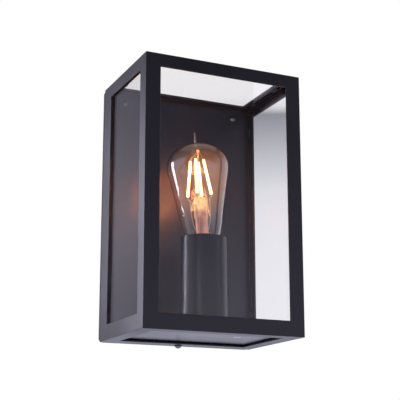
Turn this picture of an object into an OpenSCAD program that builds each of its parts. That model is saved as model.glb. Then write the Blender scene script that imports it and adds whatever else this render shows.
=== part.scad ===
// Outdoor wall lantern: a glazed box frame, open at the back, that slides over a chassis
// fixed to the wall. The chassis is a folded back pan with a shelf, and the shelf carries a
// tall socket cover with a screw-in filament lamp.
// The origin is the middle of the wall-side face. The wall is the plane y = 0, the lantern
// stands out from it towards -Y, +X is to the right and +Z is up. All sizes are millimetres.

/* [Lantern body] */
// Width of the lantern
body_w = 160; // [145:1:200]
// Height of the lantern
body_h = 254; // [246:1:320]
// How far the lantern stands out from the wall
body_d = 116; // [110:1:150]

/* [Frames] */
// Thickness of the five mitred frame panels
frame_t = 1.6; // [1.5:0.1:4]
// Width of the upright bars, and of the bottom bars
bar_w = 14.6; // [13:0.1:18]
// Width of the bars along the top edge
top_bar_w = 12.6; // [12:0.1:16]
// Width of the side and top bars next to the wall
rear_bar_w = 19; // [18:0.5:24]
// Width of the bottom bar next to the wall
bottom_rear_bar_w = 16; // [13:0.5:22]
// Gap between the rear edge of the frame and the flange of the back pan
frame_seat_gap = 0.2; // [0.1:0.05:0.5]
// Gap all round between the frame panels and the chassis that they slide over
cage_fit = 0.6; // [0.4:0.1:1]

/* [Glazing] */
// Thickness of the panes
glass_t = 3; // [2:0.5:4]
// How far a pane reaches behind the bars round its window
glass_lap = 6; // [5:0.5:6.5]
// Radius of the corners of a pane
glass_corner_r = 2; // [1:0.5:3]
// Thickness of the silicone seal between pane and frame
seal_t = 0.6; // [0.5:0.1:1]
// Width of the silicone seal
seal_w = 4.5; // [3:0.5:5]
// Thickness of the spring clips that hold the panes
clip_t = 0.6; // [0.4:0.1:0.8]
// Length of a clip along the edge of its pane
clip_w = 9; // [6:1:14]
// Length of the foot that is spot welded to the frame
clip_foot = 3; // [2:0.5:3]
// How far a clip reaches over its pane
clip_lip = 4; // [3:0.5:6]
// Distance from the end of a window to the middle of the nearest clip
clip_inset = 16; // [10:1:30]

/* [Chassis] */
// Distance from the wall to the front of the back pan
pan_depth = 12; // [11:0.5:14]
// Thickness of the pan's steel sheet
sheet_t = 1; // [0.8:0.1:1.2]
// Radius of the pan's upright corners
pan_corner_r = 3; // [2:0.5:5]
// Radius of the corners of the pan's flange
flange_corner_r = 4; // [2:0.5:6]
// Thickness of the foam gasket between flange and wall
wall_gasket_t = 2; // [1.5:0.5:3]
// Width of the foam gasket
wall_gasket_w = 4; // [3:0.5:4.5]
// Thickness of the shelf
shelf_t = 1.2; // [1:0.1:1.5]
// Width left free on each side between the shelf and the frame's inner face
shelf_side_gap = 5.4; // [5:0.2:8]
// Width left free between the shelf's front edge and the frame's inner face
shelf_front_gap = 5; // [2:0.5:8]
// Height of the upturned tab at the back of the shelf
shelf_flange_h = 13; // [12:0.5:18]
// How far the tab reaches past the middle of each rivet
shelf_tab_margin = 8; // [5:0.5:10]
// Diameter of the rivets between shelf and pan
rivet_d = 4; // [3:0.5:5]
// Distance of each rivet from the middle
rivet_x = 34; // [25:1:36]

/* [Wall fixing] */
// Thickness of the wall bracket
bracket_t = 1.5; // [1.2:0.1:2]
// Width of the bracket's upright web
bracket_w = 72; // [60:2:80]
// Height of the bracket's two cross bars
bracket_bar_h = 16; // [14:1:20]
// Distance between the two wall screw holes
wall_hole_spacing = 120; // [80:5:130]
// Diameter of the wall screw holes
wall_hole_d = 5.5; // [4.5:0.5:6.5]
// Distance of each plate screw from the side of the lantern
plate_screw_inset_x = 21; // [19:0.5:24]
// Distance of each plate screw from the top or bottom of the lantern
plate_screw_inset_z = 14; // [14:0.5:20]
// Thread diameter of the plate screws and the cover screw
screw_d = 4; // [3.5:0.5:5]
// Diameter of their domed heads
head_d = 6.8; // [6:0.2:9]
// Height of their domed heads
head_h = 2.2; // [1.8:0.1:3]
// Length of a plate screw under its head
plate_screw_len = 7; // [6:0.5:8]
// Radial gap between a thread and its nut
thread_fit = 0.05; // [0.02:0.01:0.1]
// Radial gap between a screw and the plain hole that it passes through
hole_fit = 0.3; // [0.2:0.1:0.5]
// Height of the nuts
nut_h = 3; // [2.5:0.5:4]
// Outside diameter of the round weld nuts
nut_d = 7; // [6.4:0.2:7.4]

/* [Cover screw] */
// Distance from the wall to the axis of the cover screw
cover_screw_y = 7; // [6.6:0.1:7.2]
// Thickness of the sealing washer under its head
washer_t = 0.6; // [0.4:0.1:1.5]
// Diameter of the sealing washer
washer_d = 7.4; // [7:0.2:11]
// Length of the cover screw under its head
cover_screw_len = 10; // [9:0.5:14]
// Height of the captive nut inside the pan
captive_nut_h = 5; // [4:0.5:6]
// Gap left between faces that touch but belong to parts that move apart
touch_gap = 0.05; // [0.02:0.01:0.1]

/* [Socket] */
// Distance from the wall to the axis of the lamp
lamp_y = 66; // [62:1:70]
// Height of the socket cover
cover_h = 92.4; // [92:0.2:105]
// Diameter of the socket cover at its foot
cover_foot_d = 45.6; // [45:0.2:48]
// Diameter of the socket cover at its mouth
cover_mouth_d = 43.8; // [43:0.2:46]
// Wall of the socket cover
cover_t = 1; // [0.8:0.1:1.2]
// Width of the cable mouth at the back of the cover's foot
cable_mouth_w = 9; // [8:0.5:12]
// Height of the cable mouth
cable_mouth_h = 6; // [5:0.5:8]
// Height of the pressed base that the cover sits over
base_h = 10; // [9:0.5:12]
// Length of threaded tube between the base and the lampholder
holder_rise = 17; // [16:0.5:22]
// Outside diameter of the threaded tube
tube_d = 10; // [9:0.5:11]
// Bore of the threaded tube
tube_bore_d = 7.5; // [7:0.1:8]
// Height of the lampholder
holder_h = 52; // [50:0.5:55]
// Diameter of the lampholder
holder_d = 38.4; // [37:0.2:40]
// Depth of the lampholder's cup
cup_depth = 32; // [30:0.5:34]
// Height of the spring contact above the floor of the cup
contact_rise = 8; // [6:0.5:9]
// Wall of the threaded shell that lines the cup
thread_shell_t = 1; // [0.8:0.1:1.2]
// Gap between the crests of the cap and the threaded shell
cap_clearance = 0.35; // [0.3:0.05:0.5]

/* [Lamp] */
// Total length of the lamp, with its pip
lamp_len = 143; // [136:1:146]
// Diameter of the bulb at its widest
bulb_d = 60; // [54:0.2:64]
// Height of the dome above the widest place
dome_h = 25; // [22:0.5:28]
// Height of the sealed pip on top of the dome
pip_h = 12; // [6:0.5:13]
// Diameter of the glass where it leaves the cap
neck_d = 25.6; // [25:0.2:26]
// Thickness of the bulb's glass
bulb_t = 0.9; // [0.7:0.1:1.2]
// Length of the screw cap
cap_len = 27; // [26:0.5:28]
// Diameter of the cap over its thread
cap_d = 26.2; // [26:0.1:26.4]
// Pitch of the cap's thread
cap_pitch = 3.62; // [3.5:0.01:3.7]
// Number of filaments
filament_count = 4; // [2:1:6]
// Length of a filament
filament_len = 35; // [30:1:38]
// Diameter of a filament
filament_d = 1.7; // [1.2:0.1:2]
// Distance of the filaments' lower ends from the lamp's axis
filament_low_r = 11.5; // [8:0.5:12]
// Distance of the filaments' upper ends from the lamp's axis
filament_high_r = 6.5; // [4:0.5:8]
// Height of the filaments' lower ends above the cap's contact
filament_z = 80; // [76:1:84]
// Angle of the first filament about the lamp's axis
filament_turn = 66; // [0:1:89]
// Width of the flat top of the glass stem
stem_press_w = 13; // [10:0.5:14]
// Diameter of the wires inside the lamp
lead_d = 0.6; // [0.4:0.1:0.8]

/* [Wiring] */
// Width of one pole of the terminal block
pole_pitch = 9; // [8:0.5:10]
// Depth of the terminal block
terminal_d = 16; // [14:1:18]
// Height of the terminal block
terminal_h = 13; // [12:0.5:15]
// Distance from the wall to the middle of the terminal block
terminal_y = 27; // [25:0.5:28]
// Diameter of the wires
wire_d = 2.2; // [1.8:0.1:2.4]
// Sideways place of the earth screw on the shelf
earth_x = 31.5; // [29:0.5:36]
// Distance from the wall to the earth screw
earth_y = 74; // [66:1:80]
// Sideways place of the cable grommet, from the middle
grommet_x = 24; // [20:1:26]
// Height of the cable grommet above the bottom of the lantern
grommet_h = 45; // [40:1:50]
// Bore of the cable grommet
grommet_bore_d = 8; // [6:0.5:9]

/* [Hidden] */
// Faces on round pieces; the solids come out truly round
$fn = 64;
// A little extra so that a cut passes right through
cut = 1;

// Overall levels
bottom = -body_h / 2;
top = body_h / 2;
half_w = body_w / 2;
inner_half_w = half_w - frame_t;
front_inner_y = -body_d + frame_t;

// The pan, its flange and the rear edge of the frame
flange_y = -(wall_gasket_t + sheet_t);
rear_y = flange_y - frame_seat_gap;
pan_half_w = inner_half_w - cage_fit;
pan_bottom = bottom + frame_t + cage_fit;
pan_top = top - frame_t - cage_fit;

// The window in each panel, as [low a, low b, high a, high b]
window_bottom = bottom + bar_w;
window_top = top - top_bar_w;
window_front_y = -body_d + bar_w;
window_rear_y = rear_y - rear_bar_w;
front_window = [-half_w + bar_w, window_bottom, half_w - bar_w, window_top];
side_window = [window_front_y, window_bottom, window_rear_y, window_top];
top_window = [-half_w + bar_w, window_front_y, half_w - bar_w, window_rear_y];
bottom_window = [-half_w + bar_w, window_front_y, half_w - bar_w, rear_y - bottom_rear_bar_w];
glazing_stack = seal_t + glass_t;

// The shelf lies on the level of the pan's lower wall
shelf_z = pan_bottom;
shelf_top = shelf_z + shelf_t;
shelf_half_w = inner_half_w - shelf_side_gap;
shelf_front_y = front_inner_y + shelf_front_gap;
bend_r = 1.2;
rivet_z = shelf_top + shelf_flange_h / 2;
rivet_head_h = 1.1;
rivet_tail_h = 2.4;
rivet_head_d = 1.6 * rivet_d;
rivet_tail_d = 1.4 * rivet_d;

// Wall bracket
bracket_step_x = bracket_w / 2 + 6;
bracket_ear_x = half_w - plate_screw_inset_x + bracket_bar_h / 2;
plate_screw_x = half_w - plate_screw_inset_x;
plate_screw_z = body_h / 2 - plate_screw_inset_z;
pan_web_back_y = -pan_depth + sheet_t;
bracket_ear_front_y = pan_web_back_y;
bracket_hole_d = grommet_bore_d + 10;
screw_hole_d = screw_d + 2 * hole_fit;
nut_bore_d = screw_d + 2 * thread_fit;
recess_arm = 0.6 * head_d;
recess_w = 0.13 * head_d;
recess_depth = 0.5 * head_h;

// Cable grommet
grommet_z = bottom + grommet_h;
grommet_lip = 2.5;
grommet_lip_t = 1.5;
grommet_groove_d = grommet_bore_d + 4;

// Socket and lampholder, from the shelf up
base_d = cover_foot_d - 2 * cover_t - 2 * touch_gap - (cover_foot_d - cover_mouth_d) * base_h / cover_h;
base_t = 1.2;
base_top = shelf_top + base_h;
holder_z = base_top + holder_rise;
holder_rim_z = holder_z + holder_h;
cup_floor_z = holder_rim_z - cup_depth;
cap_r = cap_d / 2;
cup_r = cap_r + cap_clearance + thread_shell_t;
thread_wave = 0.35;
tube_nut_af = 14;
tube_nut_h = 3;
tube_thread_in_holder = 4;
holder_floor_t = 3;

// The lamp, measured from the middle of its contact
lamp_z = cup_floor_z + contact_rise + touch_gap;
belly_z = lamp_len - pip_h - dome_h;
bulb_r = bulb_d / 2;
neck_r = neck_d / 2;
cap_wall = 0.5;
contact_h = 1.6;
glass_foot_z = cap_len - 8;
glass_foot_r = cap_r - 2 * thread_wave - cap_wall - 0.2;
filament_rise = sqrt(pow(filament_len, 2) - pow(filament_low_r - filament_high_r, 2));
filament_top_z = filament_z + filament_rise;
stem_top_z = filament_z - 9;
stem_r = 4.4;
stem_flare_r = glass_foot_r - bulb_t;
stem_rim_t = 0.8;
bead_r = 1.3;
bead_z = filament_top_z + 6;

// Terminal block, earth screw and the routes of the three wires
pole_count = 3;
terminal_w = pole_count * pole_pitch;
terminal_bore_d = wire_d + 0.6;
terminal_bore_z = shelf_top + 0.42 * terminal_h;
terminal_front_y = -terminal_y - terminal_d / 2;
terminal_stop_t = 1.5;
terminal_screw_d = 3.4;
earth_head_r = 3.4;
earth_nut_af = 7;
earth_tag_t = 0.8;
earth_tag_reach = 10;
earth_crimp_depth = 3;
wire_r = wire_d / 2;
wire_sides = 8;
wire_floor_z = shelf_top + wire_r;
wire_start_y = -terminal_y - terminal_stop_t / 2;
holder_wire_z = holder_z + holder_h - cup_depth - holder_floor_t;
earth_wire_end_y = -earth_y + earth_tag_reach - earth_crimp_depth;

// A lamp wire leaves its pole, dips through the cable mouth and climbs the threaded tube
function lamp_wire_route(pole_x, mouth_x, tube_x, lift) = [
    [pole_x, wire_start_y, terminal_bore_z],
    [pole_x, terminal_front_y, terminal_bore_z],
    [pole_x, terminal_front_y - 2, terminal_bore_z],
    [mouth_x, -lamp_y + cover_foot_d / 2 + 1, wire_floor_z + lift],
    [0.6 * mouth_x, -lamp_y + 15, wire_floor_z + 0.4],
    [tube_x, -lamp_y + 5, wire_floor_z + 0.6],
    [tube_x, -lamp_y, wire_floor_z + 5],
    [tube_x, -lamp_y, base_top + holder_rise / 2],
    [tube_x, -lamp_y, holder_wire_z - 4],
    [tube_x, -lamp_y, holder_wire_z]
];
brown_route = lamp_wire_route(-pole_pitch, -2.8, -1.6, 1.2);
blue_route = lamp_wire_route(0, 1.6, 1.6, 0.6);
earth_route = [
    [pole_pitch, wire_start_y, terminal_bore_z],
    [pole_pitch, terminal_front_y, terminal_bore_z],
    [pole_pitch, terminal_front_y - 2, terminal_bore_z],
    [pole_pitch + 9, terminal_front_y - 8, terminal_bore_z - 1],
    [earth_x - 4, terminal_front_y - 15, wire_floor_z + 1.6],
    [earth_x, earth_wire_end_y + 11, wire_floor_z + 0.5],
    [earth_x, earth_wire_end_y + 4, wire_floor_z + 0.2],
    [earth_x, earth_wire_end_y, wire_floor_z + 0.2]
];

// ---- helpers --------------------------------------------------------------------------

// Extrude a flat shape along an axis, centred on it: (a, b) is (y, z), (x, z) or (x, y)
module along_x(length) rotate([90, 0, 90]) linear_extrude(length, center = true) children();
module along_y(length) rotate([90, 0, 0]) linear_extrude(length, center = true) children();
module along_z(length) linear_extrude(length, center = true) children();

// A rectangle given as [low a, low b, high a, high b], grown by a margin
module span(r, grow = 0) {
    translate([r[0] - grow, r[1] - grow])
        square([r[2] - r[0] + 2 * grow, r[3] - r[1] + 2 * grow]);
}

// The same with round corners
module round_span(r, grow = 0, radius = 2) {
    low = [r[0] - grow + radius, r[1] - grow + radius];
    high = [r[2] + grow - radius, r[3] + grow - radius];
    span([low[0], low[1] - radius, high[0], high[1] + radius]);
    span([low[0] - radius, low[1], high[0] + radius, high[1]]);
    for (a = [low[0], high[0]], b = [low[1], high[1]])
        translate([a, b]) circle(radius);
}

// Both sides of a symmetrical pair
module both_sides() {
    children();
    mirror([1, 0, 0]) children();
}

// A shape put at the four plate screws
module at_plate_screws() {
    for (x = [-plate_screw_x, plate_screw_x], z = [-plate_screw_z, plate_screw_z])
        translate([x, 0, z]) children();
}

// Pieces that stand on the lamp's axis
module on_lamp_axis(z = 0) translate([0, -lamp_y, z]) children();

// A plain round hole along Y
module hole_y(d, x, z) translate([x, 0, z]) along_y_cylinder(d);
module along_y_cylinder(d) rotate([90, 0, 0]) cylinder(h = 2 * body_d, d = d, center = true);

// A ring revolved about Z from inner and outer radius
module ring(r_in, r_out, h) {
    difference() {
        cylinder(h = h, r = r_out);
        translate([0, 0, -cut]) cylinder(h = h + 2 * cut, r = r_in);
    }
}

// A hexagonal nut with a round bore, standing on z = 0
module hex_nut(af, h, bore) {
    difference() {
        cylinder(h = h, d = af / cos(30), $fn = 6);
        translate([0, 0, -cut]) cylinder(h = h + 2 * cut, d = bore);
    }
}

// A domed screw with a cross recess: the head sits below z = 0, the shank goes up
module domed_screw(d, length, head_d, head_h) {
    dome_r = (pow(head_d / 2, 2) + pow(head_h, 2)) / (2 * head_h);
    chamfer = 0.4;
    difference() {
        union() {
            intersection() {
                translate([0, 0, -head_h + dome_r]) sphere(r = dome_r);
                translate([0, 0, -head_h]) cylinder(h = head_h, d = head_d);
            }
            translate([0, 0, -touch_gap]) cylinder(h = length - chamfer + touch_gap, d = d);
            translate([0, 0, length - chamfer]) cylinder(h = chamfer, d1 = d, d2 = d - 2 * chamfer);
        }
        translate([0, 0, -head_h]) for (turn = [0, 90]) rotate([0, 0, turn])
            cube([recess_arm, recess_w, 2 * recess_depth], center = true);
    }
}

// A point on the smooth curve through a route, between its points 1 and 2
function curve_at(p, t) = 0.5 * (
    2 * p[1] + t * (p[2] - p[0])
    + t * t * (2 * p[0] - 5 * p[1] + 4 * p[2] - p[3])
    + t * t * t * (3 * p[1] - p[0] - 3 * p[2] + p[3])
);
function clamped(route, i) = route[max(0, min(len(route) - 1, i))];
function smooth_route(route, steps) = [
    for (i = [0 : len(route) - 2], s = [0 : steps - 1])
        curve_at([for (k = [-1 : 2]) clamped(route, i + k)], s / steps),
    route[len(route) - 1]
];
function unit(v) = v / norm(v);

// A round wire swept along a smooth route
module wire(route, r, steps = 5) {
    path = smooth_route(route, steps);
    last = len(path) - 1;
    side_ref = unit([1, 0.9, 0.35]);
    rings = [for (i = [0 : last])
        let (along = unit(clamped(path, i + 1) - clamped(path, i - 1)),
             side = unit(cross(along, side_ref)), up = cross(side, along))
        for (k = [0 : wire_sides - 1])
            path[i] + r * (side * cos(360 * k / wire_sides) + up * sin(360 * k / wire_sides))];
    skin = [for (i = [0 : last - 1], k = [0 : wire_sides - 1])
        let (a = i * wire_sides + k, b = i * wire_sides + (k + 1) % wire_sides)
        [a, a + wire_sides, b + wire_sides, b]];
    first_end = [for (k = [0 : wire_sides - 1]) k];
    last_end = [for (k = [0 : wire_sides - 1]) (last + 1) * wire_sides - 1 - k];
    polyhedron(concat(rings), concat([first_end], skin, [last_end]));
}

// ---- the cage: five mitred panels --------------------------------------------------------

module front_frame() {
    color("#1c1c21") difference() {
        intersection() {
            along_z(body_h) polygon([
                [-half_w, -body_d], [half_w, -body_d],
                [inner_half_w, front_inner_y], [-inner_half_w, front_inner_y]]);
            along_x(body_w) polygon([
                [-body_d, bottom], [front_inner_y, bottom + frame_t],
                [front_inner_y, top - frame_t], [-body_d, top]]);
        }
        along_y(2 * body_d + cut) span(front_window);
    }
}

// The right-hand side panel; the left-hand one is its mirror image
module side_panel() {
    difference() {
        intersection() {
            along_z(body_h) polygon([
                [half_w, -body_d], [half_w, rear_y],
                [inner_half_w, rear_y], [inner_half_w, front_inner_y]]);
            along_y(2 * body_d) polygon([
                [half_w, bottom], [half_w, top],
                [inner_half_w, top - frame_t], [inner_half_w, bottom + frame_t]]);
        }
        along_x(2 * body_w) span(side_window);
    }
}
module left_frame() color("#2b2b31") mirror([1, 0, 0]) side_panel();
module right_frame() color("#2b2b31") side_panel();

// A top panel without its window; the bottom one is its mirror image
module level_panel() {
    intersection() {
        along_x(body_w) polygon([
            [-body_d, top], [rear_y, top],
            [rear_y, top - frame_t], [front_inner_y, top - frame_t]]);
        along_y(2 * body_d) polygon([
            [-half_w, top], [half_w, top],
            [inner_half_w, top - frame_t], [-inner_half_w, top - frame_t]]);
    }
}
module top_frame() {
    color("#26262b") difference() {
        level_panel();
        along_z(2 * body_h) span(top_window);
    }
}
// The notch for the cover screw is open to the wall, so the cage slides off past the screw
module bottom_frame() {
    color("#34343b") difference() {
        mirror([0, 0, 1]) level_panel();
        along_z(2 * body_h) span(bottom_window);
        translate([0, -cover_screw_y, bottom - cut])
            cylinder(h = frame_t + 2 * cut, d = screw_hole_d);
        translate([-screw_hole_d / 2, -cover_screw_y, bottom - cut])
            cube([screw_hole_d, cover_screw_y, frame_t + 2 * cut]);
    }
}

// ---- panes, seals and clips ---------------------------------------------------------------

module pane(window) round_span(window, glass_lap, glass_corner_r);
module seal_outline(window) difference() {
    pane(window);
    round_span(window, glass_lap - seal_w, glass_corner_r / 2);
}

// Put a flat outline behind the front, side or top panel, from one depth to another
module behind_front(from, thick)
    translate([0, front_inner_y + from + thick / 2, 0]) along_y(thick) children();
module behind_side(from, thick)
    translate([inner_half_w - from - thick / 2, 0, 0]) along_x(thick) children();
module behind_top(from, thick)
    translate([0, 0, top - frame_t - from - thick / 2]) along_z(thick) children();

module front_glass() color("#dfe6e8", 0.3) behind_front(seal_t, glass_t) pane(front_window);
module right_glass() color("#dfe6e8", 0.3) behind_side(seal_t, glass_t) pane(side_window);
module left_glass() mirror([1, 0, 0]) right_glass();
module top_glass() color("#dfe6e8", 0.3) behind_top(seal_t, glass_t) pane(top_window);

module front_seal() color("#101012") behind_front(0, seal_t) seal_outline(front_window);
module right_seal() color("#101012") behind_side(0, seal_t) seal_outline(side_window);
module left_seal() mirror([1, 0, 0]) right_seal();
module top_seal() color("#101012") behind_top(0, seal_t) seal_outline(top_window);

// Section of a spring clip: x runs away from the pane, y runs into the lantern
module clip_section() polygon([
    [0, 0], [clip_t + clip_foot, 0], [clip_t + clip_foot, clip_t], [clip_t, clip_t],
    [clip_t, glazing_stack + clip_t], [-clip_lip, glazing_stack + clip_t],
    [-clip_lip, glazing_stack], [0, glazing_stack]]);

module glass_clips() {
    pane_x = front_window[2] + glass_lap;
    color("#3a3a40") both_sides() {
        for (z = [window_bottom + clip_inset, window_top - clip_inset]) {
            translate([pane_x, front_inner_y, z]) along_z(clip_w) clip_section();
            translate([inner_half_w, window_front_y - glass_lap, z])
                rotate([0, 0, -90]) mirror([0, 1, 0]) along_z(clip_w) clip_section();
            translate([inner_half_w, window_rear_y + glass_lap, z])
                rotate([0, 0, 90]) along_z(clip_w) clip_section();
        }
        for (y = [window_front_y + clip_inset, window_rear_y - clip_inset])
            translate([pane_x, y, top - frame_t])
                mirror([0, 0, 1]) along_y(clip_w) clip_section();
    }
}

// ---- chassis ------------------------------------------------------------------------------

// A folded tray: web at the front, walls back to the wall side, flange turned outwards
module back_pan() {
    outer = [-pan_half_w, pan_bottom, pan_half_w, pan_top];
    body = [-half_w, bottom, half_w, top];
    web_y = -pan_depth;
    wall_d = pan_depth - wall_gasket_t;
    color("#232327") difference() {
        union() {
            translate([0, web_y + wall_d / 2, 0]) along_y(wall_d) round_span(outer, 0, pan_corner_r);
            translate([0, flange_y + sheet_t / 2, 0])
                along_y(sheet_t) round_span(body, 0, flange_corner_r);
        }
        translate([0, pan_web_back_y + wall_d / 2, 0])
            along_y(wall_d) round_span(outer, -sheet_t, pan_corner_r - sheet_t);
        at_plate_screws() along_y_cylinder(screw_hole_d);
        hole_y(grommet_groove_d, grommet_x, grommet_z);
        for (x = [-rivet_x, rivet_x]) hole_y(rivet_d, x, rivet_z);
        translate([0, -cover_screw_y, pan_bottom - cut])
            cylinder(h = sheet_t + 2 * cut, d = screw_hole_d);
    }
}

// Shelf and rear tab as one bent sheet, with the bend as part of a ring
module lamp_shelf() {
    rear_face = -pan_depth;
    outer_r = bend_r + shelf_t;
    flange_top = shelf_z + shelf_flange_h;
    tab_w = 2 * (rivet_x + shelf_tab_margin);
    color("#3b3b42") difference() {
        union() {
            translate([0, 0, shelf_z + shelf_t / 2]) along_z(shelf_t)
                round_span([-shelf_half_w, shelf_front_y, shelf_half_w, rear_face - outer_r],
                           0, pan_corner_r);
            along_x(tab_w)
                span([rear_face - shelf_t, shelf_z + outer_r, rear_face, flange_top]);
            along_x(tab_w) translate([rear_face - outer_r, shelf_z + outer_r])
                intersection() {
                    difference() {
                        circle(outer_r);
                        circle(bend_r);
                    }
                    translate([0, -outer_r]) square(outer_r);
                }
        }
        for (x = [-rivet_x, rivet_x]) hole_y(rivet_d, x, rivet_z);
        translate([earth_x, -earth_y, shelf_z])
            cylinder(h = shelf_t, r1 = earth_head_r, r2 = earth_head_r - shelf_t);
    }
}

module shelf_rivets() {
    color("#2e2e33") for (x = [-rivet_x, rivet_x])
        translate([x, -pan_depth - shelf_t, rivet_z]) rotate([-90, 0, 0]) {
            intersection() {
                translate([0, 0, rivet_head_d - rivet_head_h]) sphere(r = rivet_head_d);
                translate([0, 0, -rivet_head_h]) cylinder(h = rivet_head_h, d = rivet_head_d);
            }
            cylinder(h = shelf_t + sheet_t, d = rivet_d);
            translate([0, 0, shelf_t + sheet_t]) cylinder(h = rivet_tail_h, d = rivet_tail_d);
        }
}

module wall_gasket() {
    body = [-half_w, bottom, half_w, top];
    color("#17171a") translate([0, -wall_gasket_t / 2, 0]) along_y(wall_gasket_t) difference() {
        round_span(body, 0, flange_corner_r);
        round_span(body, -wall_gasket_w, flange_corner_r / 2);
    }
}

// One piece of strip: an upright web on the wall and two cross bars whose ends step forward
// to carry the back pan
module wall_bracket() {
    bar_section = [
        [0, -bracket_t], [bracket_step_x - bracket_t, -bracket_t],
        [bracket_step_x - bracket_t, bracket_ear_front_y],
        [bracket_ear_x, bracket_ear_front_y], [bracket_ear_x, bracket_ear_front_y + bracket_t],
        [bracket_step_x, bracket_ear_front_y + bracket_t], [bracket_step_x, 0], [0, 0]];
    color("#b9bcc0") difference() {
        union() {
            translate([0, -bracket_t / 2, 0]) along_y(bracket_t) square(
                [bracket_w, 2 * plate_screw_z + bracket_bar_h], center = true);
            for (z = [-plate_screw_z, plate_screw_z]) translate([0, 0, z])
                both_sides() along_z(bracket_bar_h) polygon(bar_section);
        }
        at_plate_screws() along_y_cylinder(screw_hole_d);
        for (z = [-1, 1] * wall_hole_spacing / 2) hole_y(wall_hole_d, 0, z);
        hole_y(bracket_hole_d, grommet_x, grommet_z);
    }
}

module bracket_nuts() {
    color("#c9ccd0") at_plate_screws()
        translate([0, bracket_ear_front_y + bracket_t, 0]) rotate([-90, 0, 0])
            ring(nut_bore_d / 2, nut_d / 2, nut_h);
}

module plate_screws() {
    color("#3f3f45") at_plate_screws()
        translate([0, -pan_depth, 0]) rotate([-90, 0, 0])
            domed_screw(screw_d, plate_screw_len, head_d, head_h);
}

// Rubber grommet snapped into the pan's web
module cable_grommet() {
    outer_r = grommet_groove_d / 2 + grommet_lip;
    color("#141416") translate([grommet_x, -pan_depth - grommet_lip_t, grommet_z])
        rotate([-90, 0, 0]) rotate_extrude() polygon([
            [grommet_bore_d / 2, 0], [outer_r - 0.5, 0], [outer_r, 0.5],
            [outer_r, grommet_lip_t], [grommet_groove_d / 2, grommet_lip_t],
            [grommet_groove_d / 2, grommet_lip_t + sheet_t], [outer_r, grommet_lip_t + sheet_t],
            [outer_r - 1, 2 * grommet_lip_t + sheet_t],
            [grommet_bore_d / 2, 2 * grommet_lip_t + sheet_t]]);
}

// Nut pressed onto the pan's lower wall; the cover screw bites in it
module captive_nut() {
    color("#c9ccd0") translate([0, -cover_screw_y, pan_bottom + sheet_t])
        ring(nut_bore_d / 2, nut_d / 2, captive_nut_h);
}

// ---- socket ---------------------------------------------------------------------------------

function cover_r(z) = (cover_foot_d + (cover_mouth_d - cover_foot_d) * z / cover_h) / 2;

// Slightly conical spun cover with a rolled edge at its mouth
module socket_cover() {
    lip_r = cover_t / 2;
    color("#2a2a2f") on_lamp_axis(shelf_top) difference() {
        union() {
            rotate_extrude($fn = 96) polygon([
                [cover_r(0) - cover_t, 0], [cover_r(0), 0],
                [cover_r(cover_h - lip_r), cover_h - lip_r],
                [cover_r(cover_h - lip_r) - cover_t, cover_h - lip_r]]);
            translate([0, 0, cover_h - lip_r]) rotate_extrude($fn = 96)
                translate([cover_r(cover_h - lip_r) - lip_r, 0]) circle(lip_r, $fn = 24);
        }
        translate([-cable_mouth_w / 2, 0, -cut]) cube([cable_mouth_w, cover_foot_d, cable_mouth_h + cut]);
    }
}

// Pressed cup, open side down, spot welded to the shelf
module socket_base() {
    color("#8e9196") on_lamp_axis(shelf_top) difference() {
        cylinder(h = base_h, d = base_d);
        translate([0, 0, -cut]) cylinder(h = base_h - base_t + cut, d = base_d - 2 * base_t);
        cylinder(h = base_h + cut, d = tube_d);
        translate([-cable_mouth_w / 2, 0, -cut])
            cube([cable_mouth_w, cover_foot_d, cable_mouth_h + cut]);
    }
}

module threaded_tube() {
    foot_z = base_top - base_t - tube_nut_h;
    color("#b9bcc0") on_lamp_axis(foot_z)
        ring(tube_bore_d / 2, tube_d / 2, holder_z + tube_thread_in_holder - foot_z);
}

module tube_nuts() {
    color("#c9ccd0") on_lamp_axis() for (z = [base_top - base_t - tube_nut_h, base_top])
        translate([0, 0, z]) hex_nut(tube_nut_af, tube_nut_h, tube_d);
}

module lampholder() {
    r = holder_d / 2;
    foot_r = 0.52 * r;
    color("#e9e6df") on_lamp_axis(holder_z) difference() {
        rotate_extrude() polygon([
            [0, 0], [foot_r, 0], [foot_r, 5], [foot_r + 2, 7], [r - 4, 9], [r - 1, 12],
            [r - 0.6, 16], [r - 0.6, holder_h - 7], [r, holder_h - 6], [r, holder_h - 1],
            [r - 1, holder_h], [0, holder_h]]);
        translate([0, 0, holder_h - cup_depth]) cylinder(h = cup_depth + cut, r = cup_r);
        translate([0, 0, -cut]) cylinder(h = tube_thread_in_holder + cut, d = tube_d);
        cylinder(h = holder_h - cup_depth - holder_floor_t, d = tube_bore_d);
    }
}

function wave(z) = thread_wave * (1 - cos(360 * z / cap_pitch)) / 2;

// Threaded shell in the cup: its inside rises and falls by the thread's pitch
module thread_shell() {
    shell_h = cup_depth - contact_rise;
    step = cap_pitch / 8;
    count = floor(shell_h / step);
    color("#b59b5a") on_lamp_axis(holder_rim_z - 0.5 - shell_h) rotate_extrude() polygon(concat(
        [[cup_r, 0]], [[cup_r, shell_h]],
        [for (i = [count : -1 : 0]) [cup_r - thread_shell_t + wave(i * step), i * step]]));
}

// Bent spring strip on the floor of the cup
module centre_contact() {
    strip_w = 6;
    strip_t = 0.8;
    reach = 6;
    color("#b59b5a") on_lamp_axis(cup_floor_z) along_y(strip_w) polygon([
        [-reach, 0], [reach, 0], [reach, strip_t], [-reach + 2, strip_t],
        [-reach + 3.5, contact_rise - strip_t - 1], [-2, contact_rise - strip_t],
        [3, contact_rise - strip_t], [4, contact_rise - strip_t - 1.5],
        [4.7, contact_rise - strip_t - 1.2], [3.5, contact_rise], [-2.4, contact_rise],
        [-reach + 2.8, contact_rise - 1.2], [-reach + 0.8, strip_t], [-reach, strip_t]]);
}

// ---- wiring --------------------------------------------------------------------------------

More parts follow.
